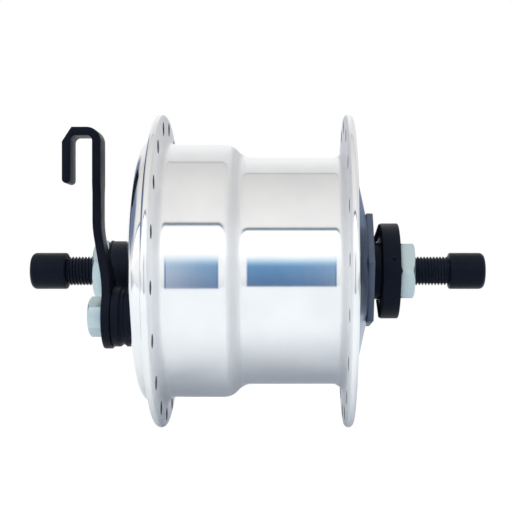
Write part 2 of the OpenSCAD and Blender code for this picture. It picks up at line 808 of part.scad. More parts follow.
// Cone-faced cover that closes the dynamo and holds the right bearing
module end_cover() {
  edge_r = cavity_r - seat_gap;
  floor_z = shell_end + 3.2;
  lip_z = right_bearing_in + race_lip;
  color([0.83, 0.84, 0.86]) rotate_extrude() polygon([
    [race_lip_r, lip_z], [housing_r, lip_z], [housing_r, floor_z], [edge_r, floor_z],
    [edge_r, shell_end - cover_proud],
    [cone_r, hex_in], [spigot_r + seat_gap, hex_in], [spigot_r + seat_gap, right_bearing],
    [bearing_r, right_bearing], [bearing_r, right_bearing_in], [race_lip_r, right_bearing_in]
  ]);
}

// Hexagonal cap screwed into the cover against the bearing
module hex_cap() {
  vertex_turn = 7;
  color([0.36, 0.41, 0.5]) difference() {
    union() {
      rotate(vertex_turn) translate([0, 0, hex_out])
        cylinder(r = hex_af / 2 / cos(30), h = hex_t, $fn = 6);
      turned(spigot_r, hex_out + hex_t / 2, right_bearing);
    }
    turned(hex_bore_r, -over_locknuts, 0);
  }
}

// Points of the set, drawn as a soft double bend that starts clear of the nut's corner
function set_points(station) = [
  for (i = [0 : 10]) let (share = i / 10) [
    station + arm_set * share * share * (3 - 2 * share),
    cam_y + cam_nut_af / 2 / cos(30) + 0.6 + set_rise * share
  ]
];
function backwards(points) = [for (i = [len(points) - 1 : -1 : 0]) points[i]];

// Side view of the arm, as station against height: a strip with a set and a hook
module arm_side() {
  foot = cam_y - arm_end_d;
  bend_y = hook_top - arm_t - hook_bend;
  bend_z = neck_out + hook_bend;
  bar_low = hook_top - arm_t;
  corner = arm_t * 1.25;
  difference() {
    union() {
      polygon(concat(
        [[arm_in, foot], [arm_out, foot]], set_points(arm_out),
        [[neck_out, bend_y], [neck_in, bend_y]], backwards(set_points(arm_in))
      ));
      intersection() {
        translate([bend_z, bend_y]) difference() {
          circle(hook_bend + arm_t);
          circle(hook_bend);
        }
        translate([neck_in, bend_y]) square([hook_bend + arm_t, hook_bend + arm_t]);
      }
      translate([bend_z, bar_low]) square([tine_out - bend_z, arm_t]);
      translate([tine_in, hook_top - tine_len + arm_t / 2]) square([arm_t, tine_len - arm_t / 2]);
      translate([tine_in + arm_t / 2, hook_top - tine_len + arm_t / 2]) circle(arm_t / 2);
      difference() {
        translate([tine_in - hook_bend, bar_low - hook_bend]) square(hook_bend + eps);
        translate([tine_in - hook_bend, bar_low - hook_bend]) circle(hook_bend);
      }
    }
    polygon([
      [tine_out + 1, hook_top + 1], [tine_out + 1, hook_top - corner - 1.4],
      [tine_out, hook_top - corner - 1.2], [tine_out - corner * 0.9, hook_top],
      [tine_out - corner * 0.9, hook_top + 1]
    ]);
  }
}

// Strip of the arm seen from the end: a round end, a taper to the neck and a wider hook
module arm_front() {
  end_r = arm_end_d / 2;
  neck_y = cam_y + arm_end_d * 1.15;
  hook_y = hook_top - tine_len - 3;
  translate([cam_x, cam_y, 0]) cylinder(r = end_r, h = over_locknuts);
  translate([cam_x, 0, 0]) linear_extrude(over_locknuts) polygon([
    [0.7 - end_r, cam_y], [-arm_neck_w / 2, neck_y], [-arm_neck_w / 2, hook_y],
    [-arm_hook_w / 2, hook_y + 3], [-arm_hook_w / 2, hook_top + 1],
    [arm_hook_w / 2, hook_top + 1], [arm_hook_w / 2, hook_y + 3],
    [arm_neck_w / 2, hook_y], [arm_neck_w / 2, neck_y], [end_r - 0.7, cam_y]
  ]);
}

// Squared end of the spindle, or the hole it keys into
module spindle_square(gap, z0, z1) {
  w = square_w + 2 * gap;
  translate([cam_x, cam_y, z0]) rotate(cam_turn) intersection() {
    translate([-w / 2, -w / 2, 0]) cube([w, w, z1 - z0]);
    cylinder(r = spindle_r - turn_gap + gap, h = z1 - z0);
  }
}

module brake_arm() {
  color([0.07, 0.08, 0.09]) difference() {
    intersection() {
      translate([cam_x, 0, 0]) rotate([0, -90, 0])
        linear_extrude(arm_end_d + 2, center = true) arm_side();
      arm_front();
    }
    spindle_square(seat_gap, 0, over_locknuts);
  }
}

// Cam, spindle, square and stud in one turning
module cam_spindle() {
  color([0.5, 0.5, 0.52]) union() {
    rotate(cam_turn) translate([cam_r, 0, 0]) {
      box([-cam_half_len, -cam_half_t, shoe_z - shoe_web_t / 2 - 1], [cam_half_len, cam_half_t, cam_top]);
      turned(spindle_r, cam_top - 1, arm_in);
      turned(stud_r, arm_out - 1, cam_nut_out - 0.6);
    }
    spindle_square(0, arm_in - 1, arm_out);
  }
}

// Grooved bush that guides the spindle and spaces the arm from the plate
module cam_bush() {
  groove_mid = plate_out + 0.1;
  groove_r = 0.9;
  groove_deep = 0.6;
  bush_r = cam_bush_d / 2;
  color([0.06, 0.06, 0.07]) translate([cam_x, cam_y, 0]) rotate_extrude() difference() {
    band(spindle_r + turn_gap, bush_r, plate_rim_in + 0.6, arm_in - 0.1);
    translate([bush_r - groove_deep + groove_r, groove_mid]) circle(groove_r);
  }
}

module cam_nut() {
  flat_turn = 30;
  color([0.75, 0.8, 0.82]) difference() {
    translate([cam_x, cam_y, 0]) hexagon(cam_nut_af, arm_out, cam_nut_out, flat_turn, [false, true]);
    translate([cam_x, cam_y, 0]) turned(stud_r + seat_gap, 0, over_locknuts);
  }
}

// Pin on the plate that both shoes hang on
module anchor_pin() {
  color("silver") rotate(cam_turn) translate([-cam_r, 0, 0]) {
    turned(anchor_r, shoe_z - shoe_web_t / 2 - 1, plate_rim_in - 1.5);
    turned(anchor_r - 1, plate_rim_in - 2.5, plate_rim_out - 0.4);
  }
}

// Sector of a ring, centred on the direction across the cam line
module ring_sector(r_out, r_in, arc) {
  far = 2 * r_out;
  intersection() {
    difference() {
      circle(r_out);
      circle(r_in);
    }
    polygon(concat(
      [[0, 0]],
      [for (i = [0 : 4]) let (a = 90 - arc / 2 + i * arc / 4) [far * cos(a), far * sin(a)]]
    ));
  }
}

// Web of a shoe: an arc with a half eye on the anchor pin and a flat pad on the cam
module shoe_web() {
  pad_y = cam_half_t + turn_gap;
  difference() {
    union() {
      difference() {
        circle(web_r + 0.2);
        circle(web_inner_r);
      }
      translate([-cam_r, 0]) circle(shoe_eye_r);
      translate([cam_r - cam_half_len - 1, 0]) square(2 * cam_half_len + 1);
    }
    translate([-2 * drum_r, -2 * drum_r]) square([4 * drum_r, 2 * drum_r + shoe_split]);
    translate([0, -drum_r]) square([2 * drum_r, drum_r + pad_y]);
    translate([-cam_r, 0]) circle(anchor_r + turn_gap);
    for (side = [-1, 1]) translate([side * spring_u, spring_hole_v]) circle(spring_wire_d / 2 + 0.4);
  }
}

// The lower shoe is the upper one turned over across the cam line
module shoe_side(side) { rotate(cam_turn) mirror([0, side < 0 ? 1 : 0, 0]) children(); }

module shoe(side) {
  rim_w = lining_w - 1;
  color([0.6, 0.61, 0.63]) shoe_side(side) union() {
    translate([0, 0, shoe_z - shoe_web_t / 2]) linear_extrude(shoe_web_t) shoe_web();
    translate([0, 0, shoe_z - rim_w / 2]) linear_extrude(rim_w) ring_sector(rim_r, web_r, lining_arc);
  }
}

module lining(side) {
  color([0.35, 0.3, 0.24]) shoe_side(side)
    translate([0, 0, shoe_z - lining_w / 2]) linear_extrude(lining_w)
      ring_sector(lining_r, rim_r, lining_arc);
}

module upper_shoe() { shoe(1); }
module lower_shoe() { shoe(-1); }
module upper_lining() { lining(1); }
module lower_lining() { lining(-1); }

// Return spring: one wire from a hole in one shoe, through its turns, to a hole in the other
function unit(v) = v / norm(v);
function spring_path() =
  let (
    half = spring_hole_v - 6,
    steps = spring_turns * 8,
    foot = shoe_z - shoe_web_t / 2 + 0.6
  )
  concat(
    [[0, -spring_hole_v, foot], [0, -spring_hole_v, spring_z - 2], [0, -spring_hole_v + 1, spring_z - 1]],
    [[0, -half - 2.6, spring_z + spring_coil_r / 2]],
    [for (i = [0 : steps])
      let (a = 90 + i * 45)
      [spring_coil_r * cos(a), -half + 2 * half * i / steps, spring_z + spring_coil_r * sin(a)]],
    [[0, half + 2.6, spring_z + spring_coil_r / 2]],
    [[0, spring_hole_v - 1, spring_z - 1], [0, spring_hole_v, spring_z - 2], [0, spring_hole_v, foot]]
  );

module swept(path, r, sides) {
  last = len(path) - 1;
  tangents = [for (i = [0 : last]) unit(path[min(i + 1, last)] - path[max(i - 1, 0)])];
  normals = [for (
    i = 0, n = unit(cross(tangents[0], [1, 0.1, 0]));
    i <= last;
    i = i + 1, n = i > last ? n : unit(n - (n * tangents[i]) * tangents[i])
  ) n];
  rings = [for (i = [0 : last]) for (s = [0 : sides - 1])
    let (a = s * 360 / sides)
    path[i] + r * (normals[i] * cos(a) + cross(tangents[i], normals[i]) * sin(a))];
  walls = [for (i = [0 : last - 1]) for (s = [0 : sides - 1])
    let (a = i * sides + s, b = i * sides + (s + 1) % sides)
    each [[a, a + sides, b], [b, a + sides, b + sides]]];
  end = last * sides;
  caps = [for (s = [1 : sides - 2]) each [[0, s, s + 1], [end, end + s + 1, end + s]]];
  polyhedron(rings, concat(walls, caps), convexity = 10);
}

echo(str("least gap between spring turns: ",
  2 * (spring_hole_v - 6) / spring_turns - spring_wire_d, " mm"));

module return_spring(side) {
  color("silver") rotate(cam_turn) translate([side * spring_u, 0, 0])
    swept(spring_path(), spring_wire_d / 2, 6);
}

module cam_spring() { return_spring(1); }
module anchor_spring() { return_spring(-1); }

// Rubber caps pushed over the ends of the thread, drawn from mouth to closed end
module end_cap() {
  rounding = 1.6;
  mouth = 0.6;
  cap_r = cap_d / 2;
  color([0.05, 0.05, 0.06]) difference() {
    rotate_extrude() union() {
      polygon([
        [0, 0], [cap_r - mouth, 0], [cap_r, mouth], [cap_r, cap_len - rounding], [0, cap_len - rounding]
      ]);
      band(0, cap_r - rounding, cap_len - rounding - 1, cap_len);
      intersection() {
        translate([cap_r - rounding, cap_len - rounding]) circle(rounding);
        band(0, cap_r, cap_len - rounding, cap_len);
      }
    }
    turned(relief_r + turn_gap, -1, cap_len - cap_end_t);
  }
}

module brake_cap() { translate([0, 0, nut_b_out + bare_thread_brake]) end_cap(); }
module dynamo_cap() { translate([0, 0, nut_d_out - bare_thread_dynamo]) mirror([0, 0, 1]) end_cap(); }

in_frame() axle();
in_frame() brake_plate();
in_frame() reaction_arm();
in_frame() arm_rivets();
in_frame() cam_bush();
in_frame() anchor_pin();
in_frame() locknut_washer();
in_frame() brake_locknut();
in_frame() dynamo_locknut();
in_frame() left_inner_race();
in_frame() left_outer_race();
in_frame() left_balls();
in_frame() left_cage();
in_frame() left_seal();
in_frame() right_inner_race();
in_frame() right_outer_race();
in_frame() right_balls();
in_frame() right_cage();
in_frame() right_seal();
in_frame() bearing_circlip();
in_frame() left_spacer();
in_frame() right_spacer();
in_frame() stator_claws_left();
in_frame() stator_claws_right();
in_frame() stator_core();
in_frame() stator_key();
in_frame() coil_bobbin();
in_frame() coil_winding();
in_frame() coil_leads();
in_frame() clamp_sleeve();
in_frame() terminal_ring();
in_frame() terminal_blades();
in_frame() hub_shell();
in_frame() drum_liner();
in_frame() flux_ring();
in_frame() magnets();
in_frame() end_cover();
in_frame() hex_cap();
in_frame() brake_arm();
in_frame() cam_spindle();
in_frame() cam_nut();
in_frame() upper_shoe();
in_frame() upper_lining();
in_frame() lower_shoe();
in_frame() lower_lining();
in_frame() cam_spring();
in_frame() anchor_spring();
in_frame() brake_cap();
in_frame() dynamo_cap();
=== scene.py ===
import math

import bpy
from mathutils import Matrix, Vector


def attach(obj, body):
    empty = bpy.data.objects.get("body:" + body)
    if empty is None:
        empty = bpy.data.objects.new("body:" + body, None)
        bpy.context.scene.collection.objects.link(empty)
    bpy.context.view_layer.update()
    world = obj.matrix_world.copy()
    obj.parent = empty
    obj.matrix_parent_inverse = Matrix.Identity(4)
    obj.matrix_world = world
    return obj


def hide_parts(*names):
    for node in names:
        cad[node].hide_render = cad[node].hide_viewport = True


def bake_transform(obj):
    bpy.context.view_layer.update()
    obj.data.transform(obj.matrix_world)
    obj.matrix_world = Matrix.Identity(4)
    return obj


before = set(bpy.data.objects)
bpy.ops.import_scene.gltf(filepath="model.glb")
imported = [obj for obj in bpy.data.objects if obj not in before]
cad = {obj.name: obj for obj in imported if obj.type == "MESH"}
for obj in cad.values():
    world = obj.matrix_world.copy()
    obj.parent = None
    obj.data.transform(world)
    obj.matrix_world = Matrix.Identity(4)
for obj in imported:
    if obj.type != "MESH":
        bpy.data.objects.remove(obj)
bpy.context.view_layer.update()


# Axle. A steel bar turned to a journal in the middle and threaded at both ends, blacked in hot oil.
# It is drawn as a lathe outline in millimetres, in which y is the place along the axle from the hub's
# middle. A groove for the coil leads and a keyway are then milled in it, and the threads are wound on.
axle_r, land_r, thread_core_r = 4.5, 4.2, 3.85
stator_seat_r, brake_seat_r = 6, 7.5
dynamo_tip, brake_tip = -70, 67.8
nut_seat, nut_face = 45, 50
sleeve_seat, web_shoulder, plate_seat = -31.7, 14, 34.6
tip_chamfer, tip_land, land_step = 0.8, 0.4, 0.1
axle_facets = 96


def arc(centre, radius, start, stop, count):
    """Points on an arc in the outline's plane, as (radius, place along the axle), between two degrees."""
    angles = [math.radians(start + (stop - start) * i / count) for i in range(count + 1)]
    return [(centre[0] + radius * math.cos(a), centre[1] + radius * math.sin(a)) for a in angles]


def supported(outline, gap=0.15):
    """The outline with a point just inside both ends of each long straight run, so shading stays true."""
    points = [outline[0]]
    for a, b in zip(outline, outline[1:]):
        run = math.dist(a, b)
        if run > 4 * gap:
            for t in (gap / run, 1 - gap / run):
                points.append((a[0] + (b[0] - a[0]) * t, a[1] + (b[1] - a[1]) * t))
        points.append(b)
    return points


def drawn_edge(name, outline):
    """A chain of edges through (radius, place) points, left open in edit mode."""
    bpy.ops.object.select_all(action="DESELECT")
    bpy.ops.mesh.primitive_plane_add(size=0.001)
    piece = bpy.context.object
    piece.name = name
    bpy.ops.object.mode_set(mode="EDIT")
    bpy.ops.mesh.select_all(action="SELECT")
    bpy.ops.mesh.merge(type="CENTER")
    here = Vector((outline[0][0], outline[0][1], 0)) / 1000
    bpy.ops.transform.translate(value=here)
    for r, y in outline[1:]:
        there = Vector((r, y, 0)) / 1000
        bpy.ops.mesh.extrude_vertices_move(TRANSFORM_OT_translate={"value": there - here})
        here = there
    bpy.ops.mesh.select_all(action="SELECT")
    return piece


def smoothed(piece, degrees=28):
    """Shades a piece smooth, apart from edges sharper than the angle."""
    bpy.ops.object.select_all(action="DESELECT")
    piece.select_set(True)
    bpy.context.view_layer.objects.active = piece
    bpy.ops.object.shade_smooth_by_angle(angle=math.radians(degrees))
    return piece


def turned(name, outline, facets):
    """A closed outline spun about the axle."""
    piece = drawn_edge(name, supported(outline + [outline[0]]))
    bpy.ops.mesh.spin(steps=facets, angle=2 * math.pi, center=(0, 0, 0), axis=(0, 1, 0))
    bpy.ops.mesh.select_all(action="SELECT")
    bpy.ops.mesh.remove_doubles(threshold=2e-6)
    bpy.ops.mesh.normals_make_consistent(inside=False)
    bpy.ops.object.mode_set(mode="OBJECT")
    return smoothed(piece)


def cut_by(piece, tools):
    """Takes the tools away from the piece, and then removes the tools."""
    bpy.ops.object.select_all(action="DESELECT")
    for tool in tools:
        tool.select_set(True)
    bpy.context.view_layer.objects.active = tools[0]
    if len(tools) > 1:
        bpy.ops.object.join()
    tool = bpy.context.object
    bpy.ops.object.transform_apply(location=True, rotation=True, scale=True)
    bpy.ops.object.select_all(action="DESELECT")
    piece.select_set(True)
    bpy.context.view_layer.objects.active = piece
    cut = piece.modifiers.new("cut", "BOOLEAN")
    cut.operation = "DIFFERENCE"
    cut.solver = "EXACT"
    cut.material_mode = "TRANSFER"
    cut.object = tool
    bpy.ops.object.modifier_apply(modifier="cut")
    bpy.data.objects.remove(tool)
    return smoothed(piece)


def block(low, high):
    """A cube between two corners in millimetres."""
    low, high = Vector(low) / 1000, Vector(high) / 1000
    bpy.ops.object.select_all(action="DESELECT")
    bpy.ops.mesh.primitive_cube_add(size=1, location=(low + high) / 2, scale=high - low)
    return bpy.context.object


def axle_end(tip, way):
    """One end's outline from its tip inwards: chamfer, short land, core of the thread, seat of the nut."""
    tip_length = tip_chamfer + tip_land
    return [
        (0, tip), (land_r - tip_chamfer, tip), (land_r, tip - way * tip_chamfer),
        (land_r, tip - way * tip_length), (thread_core_r, tip - way * (tip_length + land_step)),
        (thread_core_r, way * (nut_face + land_step)), (land_r, way * nut_face),
        (land_r, way * nut_seat), (axle_r, way * nut_seat),
    ]


axle_bar = turned("axle_bar", (
    axle_end(dynamo_tip, -1)
    + [(axle_r, sleeve_seat), (stator_seat_r, sleeve_seat), (stator_seat_r, web_shoulder),
       (brake_seat_r, web_shoulder), (brake_seat_r, plate_seat), (axle_r, plate_seat)]
    + axle_end(brake_tip, 1)[::-1]
), axle_facets)
cutter_half, cutter_reach = 1.5, 9
groove_floor, groove_start, groove_end = 3.15, -44, -19.6
keyway_floor, keyway_start, keyway_end = 4.5, -13.4, -2.1
lead_groove = block((groove_floor, groove_start, -cutter_half), (cutter_reach, groove_end, cutter_half))
keyway = block((-cutter_reach, keyway_start, -cutter_half), (-keyway_floor, keyway_end, cutter_half))
cut_by(axle_bar, [lead_groove, keyway])
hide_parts("axle")
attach(axle_bar, "axle_set")


def threaded(name, low, high):
    """A rolled thread of 1 mm pitch between two places along the axle."""
    pitch, root_r, turn_facets = 1.0, 3.95, 64
    flank = [(root_r, 0), (root_r, 0.1), (axle_r, 0.42), (axle_r, 0.58), (root_r, 0.9), (root_r, 1.0)]
    piece = drawn_edge(name, [(r, low - 2 + y * pitch) for r, y in flank])
    bpy.ops.object.mode_set(mode="OBJECT")
    wind = piece.modifiers.new("wind", "SCREW")
    wind.axis = "Y"
    wind.angle = 2 * math.pi
    wind.screw_offset = pitch / 1000
    wind.iterations = int(high - low) + 5
    wind.steps = turn_facets
    wind.render_steps = turn_facets
    wind.use_merge_vertices = True
    wind.merge_threshold = 1e-6
    bpy.ops.object.modifier_apply(modifier="wind")
    bpy.ops.object.mode_set(mode="EDIT")
    bpy.ops.mesh.select_all(action="SELECT")
    bpy.ops.mesh.remove_doubles(threshold=1e-6)
    for place, low_side in ((low, True), (high, False)):
        bpy.ops.mesh.select_all(action="SELECT")
        bpy.ops.mesh.bisect(
            plane_co=(0, place / 1000, 0), plane_no=(0, 1, 0), use_fill=True,
            clear_inner=low_side, clear_outer=not low_side,
        )
    bpy.ops.mesh.select_all(action="SELECT")
    bpy.ops.mesh.normals_make_consistent(inside=False)
    bpy.ops.object.mode_set(mode="OBJECT")
    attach(piece, "axle_set")
    return smoothed(piece, 40)


thread_start = nut_face + land_step / 2
thread_from_tip = tip_chamfer + tip_land + land_step / 2
thread_brake = threaded("axle_thread_brake", thread_start, brake_tip - thread_from_tip)
thread_dynamo = threaded("axle_thread_dynamo", dynamo_tip + thread_from_tip, -thread_start)


def grain_group():
    """Fine uneven grain for coated, moulded and oxidised surfaces: two masks and a bumped normal."""
    group = bpy.data.node_groups.new("fine grain", "ShaderNodeTree")
    group.interface.new_socket("Scale", in_out="INPUT", socket_type="NodeSocketFloat")
    group.interface.new_socket("Depth", in_out="INPUT", socket_type="NodeSocketFloat")
    group.interface.new_socket("Mask", in_out="OUTPUT", socket_type="NodeSocketFloat")
    group.interface.new_socket("Patches", in_out="OUTPUT", socket_type="NodeSocketFloat")
    group.interface.new_socket("Normal", in_out="OUTPUT", socket_type="NodeSocketVector")
    nodes, link = group.nodes, group.links.new
    entry, leave = nodes.new("NodeGroupInput"), nodes.new("NodeGroupOutput")
    place = nodes.new("ShaderNodeTexCoord")
    grain = nodes.new("ShaderNodeTexNoise")
    grain.inputs["Detail"].default_value = 4
    grain.inputs["Roughness"].default_value = 0.65
    link(place.outputs["Object"], grain.inputs["Vector"])
    link(entry.outputs["Scale"], grain.inputs["Scale"])
    patches = nodes.new("ShaderNodeTexNoise")
    patches.inputs["Scale"].default_value = 140
    patches.inputs["Detail"].default_value = 3
    link(place.outputs["Object"], patches.inputs["Vector"])
    bump = nodes.new("ShaderNodeBump")
    bump.inputs["Distance"].default_value = 0.0001
    link(entry.outputs["Depth"], bump.inputs["Strength"])
    link(grain.outputs["Fac"], bump.inputs["Height"])
    link(grain.outputs["Fac"], leave.inputs["Mask"])
    link(patches.outputs["Fac"], leave.inputs["Patches"])
    link(bump.outputs["Normal"], leave.inputs["Normal"])
    return group


fine_grain = grain_group()


def grained(name, dark, light, rough, scale, depth, metallic=0.0, specular=0.5, tint=(1, 1, 1)):
    """A material whose colour and gloss drift between two limits by patches and fine grain."""
    faint, strong, grain_share = 0.3, 0.7, 0.5
    material = bpy.data.materials.new(name)
    material.use_nodes = True
    nodes, link = material.node_tree.nodes, material.node_tree.links.new
    shader = nodes["Principled BSDF"]
    shader.inputs["Metallic"].default_value = metallic
    shader.inputs["Specular IOR Level"].default_value = specular
    shader.inputs["Specular Tint"].default_value = (*tint, 1)
    grain = nodes.new("ShaderNodeGroup")
    grain.node_tree = fine_grain
    grain.inputs["Scale"].default_value = scale
    grain.inputs["Depth"].default_value = depth
    patch_part = nodes.new("ShaderNodeMath")
    patch_part.operation = "MULTIPLY"
    patch_part.inputs[1].default_value = 1 - grain_share
    link(grain.outputs["Patches"], patch_part.inputs[0])
    drift = nodes.new("ShaderNodeMath")
    drift.operation = "MULTIPLY_ADD"
    drift.inputs[1].default_value = grain_share
    link(grain.outputs["Mask"], drift.inputs[0])
    link(patch_part.outputs[0], drift.inputs[2])
    colour = nodes.new("ShaderNodeValToRGB")
    colour.color_ramp.elements[0].position = faint
    colour.color_ramp.elements[0].color = (*dark, 1)
    colour.color_ramp.elements[1].position = strong
    colour.color_ramp.elements[1].color = (*light, 1)
    link(drift.outputs[0], colour.inputs["Fac"])
    link(colour.outputs["Color"], shader.inputs["Base Color"])
    gloss = nodes.new("ShaderNodeMapRange")
    gloss.inputs["From Min"].default_value = faint
    gloss.inputs["From Max"].default_value = strong
    gloss.inputs["To Min"].default_value = rough[0]
    gloss.inputs["To Max"].default_value = rough[1]
    link(grain.outputs["Patches"], gloss.inputs["Value"])
    link(gloss.outputs["Result"], shader.inputs["Roughness"])
    link(grain.outputs["Normal"], shader.inputs["Normal"])
    return material


def finished(piece, material):
    """Gives a piece one material all over."""
    piece.data.materials.clear()
    piece.data.materials.append(material)


cool_gloss = (0.55, 0.68, 1.0)
black_oxide = grained(
    "black oxide", dark=(0.005, 0.0065, 0.012), light=(0.013, 0.0165, 0.028), rough=(0.32, 0.46),
    scale=2600, depth=0.10, specular=0.15, tint=cool_gloss,
)
for piece in (axle_bar, thread_brake, thread_dynamo):
    finished(piece, black_oxide)


# Stator. Two claw plates stamped from soft iron close over a plastic bobbin wound with enamelled wire.
# Core, key and spacers hold it on the axle, and two leads run from it to the terminals.
soft_iron = grained(
    "soft iron", dark=(0.20, 0.20, 0.21), light=(0.32, 0.32, 0.33), rough=(0.38, 0.55),
    scale=1800, depth=0.12, metallic=1.0,
)
ground_steel = grained(
    "ground steel", dark=(0.50, 0.50, 0.52), light=(0.62, 0.62, 0.64), rough=(0.18, 0.28),
    scale=3200, depth=0.05, metallic=1.0,
)
copper_wire = grained(
    "enamelled copper", dark=(0.42, 0.13, 0.04), light=(0.62, 0.24, 0.09), rough=(0.25, 0.35),
    scale=900, depth=0.05, metallic=0.9,
)
bobbin_white = grained(
    "bobbin plastic", dark=(0.62, 0.58, 0.46), light=(0.72, 0.68, 0.56), rough=(0.4, 0.55),
    scale=1500, depth=0.10,
)
for node in ("stator_claws_left", "stator_claws_right", "stator_core"):
    finished(cad[node], soft_iron)
for node in ("stator_key", "left_spacer", "right_spacer"):
    finished(cad[node], ground_steel)
for node in ("coil_winding", "coil_leads"):
    finished(cad[node], copper_wire)
finished(cad["coil_bobbin"], bobbin_white)


# Ball bearings. Ground steel races and balls with a stamped brass cage, each closed by a rubber seal.
# The left one is held in the web by a circlip and the right one by the hexagonal cap.
cage_brass = grained(
    "cage brass", dark=(0.45, 0.30, 0.09), light=(0.58, 0.40, 0.14), rough=(0.25, 0.4),
    scale=2000, depth=0.08, metallic=1.0,
)
seal_rubber = grained(
    "seal rubber", dark=(0.012, 0.012, 0.012), light=(0.025, 0.025, 0.026), rough=(0.5, 0.65),
    scale=2200, depth=0.15,
)
spring_steel = grained(
    "oiled spring steel", dark=(0.16, 0.16, 0.17), light=(0.26, 0.26, 0.27), rough=(0.25, 0.38),
    scale=2400, depth=0.06, metallic=1.0,
)
for side in ("left", "right"):
    for node in ("_inner_race", "_outer_race", "_balls"):
        finished(cad[side + node], ground_steel)
    finished(cad[side + "_cage"], cage_brass)
    finished(cad[side + "_seal"], seal_rubber)
finished(cad["bearing_circlip"], spring_steel)


# Rotor. Ferrite magnets, one to a pole, are glued inside a ring of soft iron that carries their field.
# The ring is pressed into the shell's narrow end and turns with it round the stator's claws.
ferrite = grained(
    "magnet ferrite", dark=(0.035, 0.035, 0.038), light=(0.06, 0.06, 0.062), rough=(0.5, 0.65),
    scale=2600, depth=0.2,
)
finished(cad["magnets"], ferrite)
finished(cad["flux_ring"], soft_iron)


# Hub shell. One aluminium forging, turned all over and polished, with fine lines left round the axle.
# Its wide end is the drum's housing, its narrow end holds the dynamo, and both flanges are drilled.
drum_barrel_r, drum_bore_r, drum_floor = 39.6, 37.0, 9.5
dynamo_barrel_r, dynamo_bore_r = 35.6, 32.3
left_flange, right_flange, flange_half = 28.75, -29.25, 1.35
rim_centre_r, corner_round = 47.6, 3.6
left_corner = left_flange - flange_half - corner_round
right_corner = right_flange + flange_half + corner_round
lip_round, lip_step = 4.2, 0.3
step_round, step_turn, step_wide_end, step_narrow_end = 5.73, 49.4, 9.4, 0.7
web_face, web_hole_r = 5.0, 12.4
bearing_r, bearing_low, bearing_high = 14.0, 6.0, 14.0
circlip_r, circlip_high = 15.2, 15.2
boss_r, boss_end = 18.0, 16.2
shell_facets = 256
hub_shell = turned("shell_turned", (
    [(drum_bore_r, plate_seat)]
    + arc((drum_bore_r + lip_step, plate_seat - lip_round), lip_round, 90, 0, 20)
    + arc((rim_centre_r, left_flange), flange_half, 90, -90, 18)
    + arc((drum_barrel_r + corner_round, left_corner), corner_round, 90, 180, 14)
    + arc((drum_barrel_r - step_round, step_wide_end), step_round, 0, -step_turn, 16)
    + arc((dynamo_barrel_r + step_round, step_narrow_end), step_round, 180 - step_turn, 180, 16)
    + arc((dynamo_barrel_r + corner_round, right_corner), corner_round, 180, 270, 14)
    + arc((rim_centre_r, right_flange), flange_half, 90, -90, 18)
    + [(dynamo_bore_r, right_flange - flange_half), (dynamo_bore_r, web_face), (web_hole_r, web_face),
       (web_hole_r, bearing_low), (bearing_r, bearing_low), (bearing_r, bearing_high),
       (circlip_r, bearing_high), (circlip_r, circlip_high), (bearing_r, circlip_high),
       (bearing_r, boss_end), (boss_r, boss_end), (boss_r, drum_floor), (drum_bore_r, drum_floor)]
), shell_facets)


def lathe_lines_group():
    """Fine lines round the axle, from place along it and distance from it: two masks and a bumped normal."""
    group = bpy.data.node_groups.new("lathe lines", "ShaderNodeTree")
    group.interface.new_socket("Lines per metre", in_out="INPUT", socket_type="NodeSocketFloat")
    group.interface.new_socket("Depth", in_out="INPUT", socket_type="NodeSocketFloat")
    group.interface.new_socket("Lines", in_out="OUTPUT", socket_type="NodeSocketFloat")
    group.interface.new_socket("Clouds", in_out="OUTPUT", socket_type="NodeSocketFloat")
    group.interface.new_socket("Normal", in_out="OUTPUT", socket_type="NodeSocketVector")
    nodes, link = group.nodes, group.links.new
    entry, leave = nodes.new("NodeGroupInput"), nodes.new("NodeGroupOutput")
    place = nodes.new("ShaderNodeTexCoord")
    flat = nodes.new("ShaderNodeVectorMath")
    flat.operation = "MULTIPLY"
    flat.inputs[1].default_value = (1, 0, 1)
    link(place.outputs["Object"], flat.inputs[0])
    distance = nodes.new("ShaderNodeVectorMath")
    distance.operation = "LENGTH"
    link(flat.outputs["Vector"], distance.inputs[0])
    split = nodes.new("ShaderNodeSeparateXYZ")
    link(place.outputs["Object"], split.inputs[0])
    along = nodes.new("ShaderNodeMath")
    along.operation = "ADD"
    link(split.outputs["Y"], along.inputs[0])
    link(distance.outputs["Value"], along.inputs[1])
    lines = nodes.new("ShaderNodeTexNoise")
    lines.noise_dimensions = "1D"
    lines.inputs["Detail"].default_value = 5
    lines.inputs["Roughness"].default_value = 0.7
    link(along.outputs[0], lines.inputs["W"])
    link(entry.outputs["Lines per metre"], lines.inputs["Scale"])
    clouds = nodes.new("ShaderNodeTexNoise")
    clouds.inputs["Scale"].default_value = 55
    clouds.inputs["Detail"].default_value = 4
    link(place.outputs["Object"], clouds.inputs["Vector"])
    bump = nodes.new("ShaderNodeBump")
    bump.inputs["Distance"].default_value = 0.00002
    link(entry.outputs["Depth"], bump.inputs["Strength"])
    link(lines.outputs["Fac"], bump.inputs["Height"])
    link(lines.outputs["Fac"], leave.inputs["Lines"])
    link(clouds.outputs["Fac"], leave.inputs["Clouds"])
    link(bump.outputs["Normal"], leave.inputs["Normal"])
    return group


lathe_lines = lathe_lines_group()


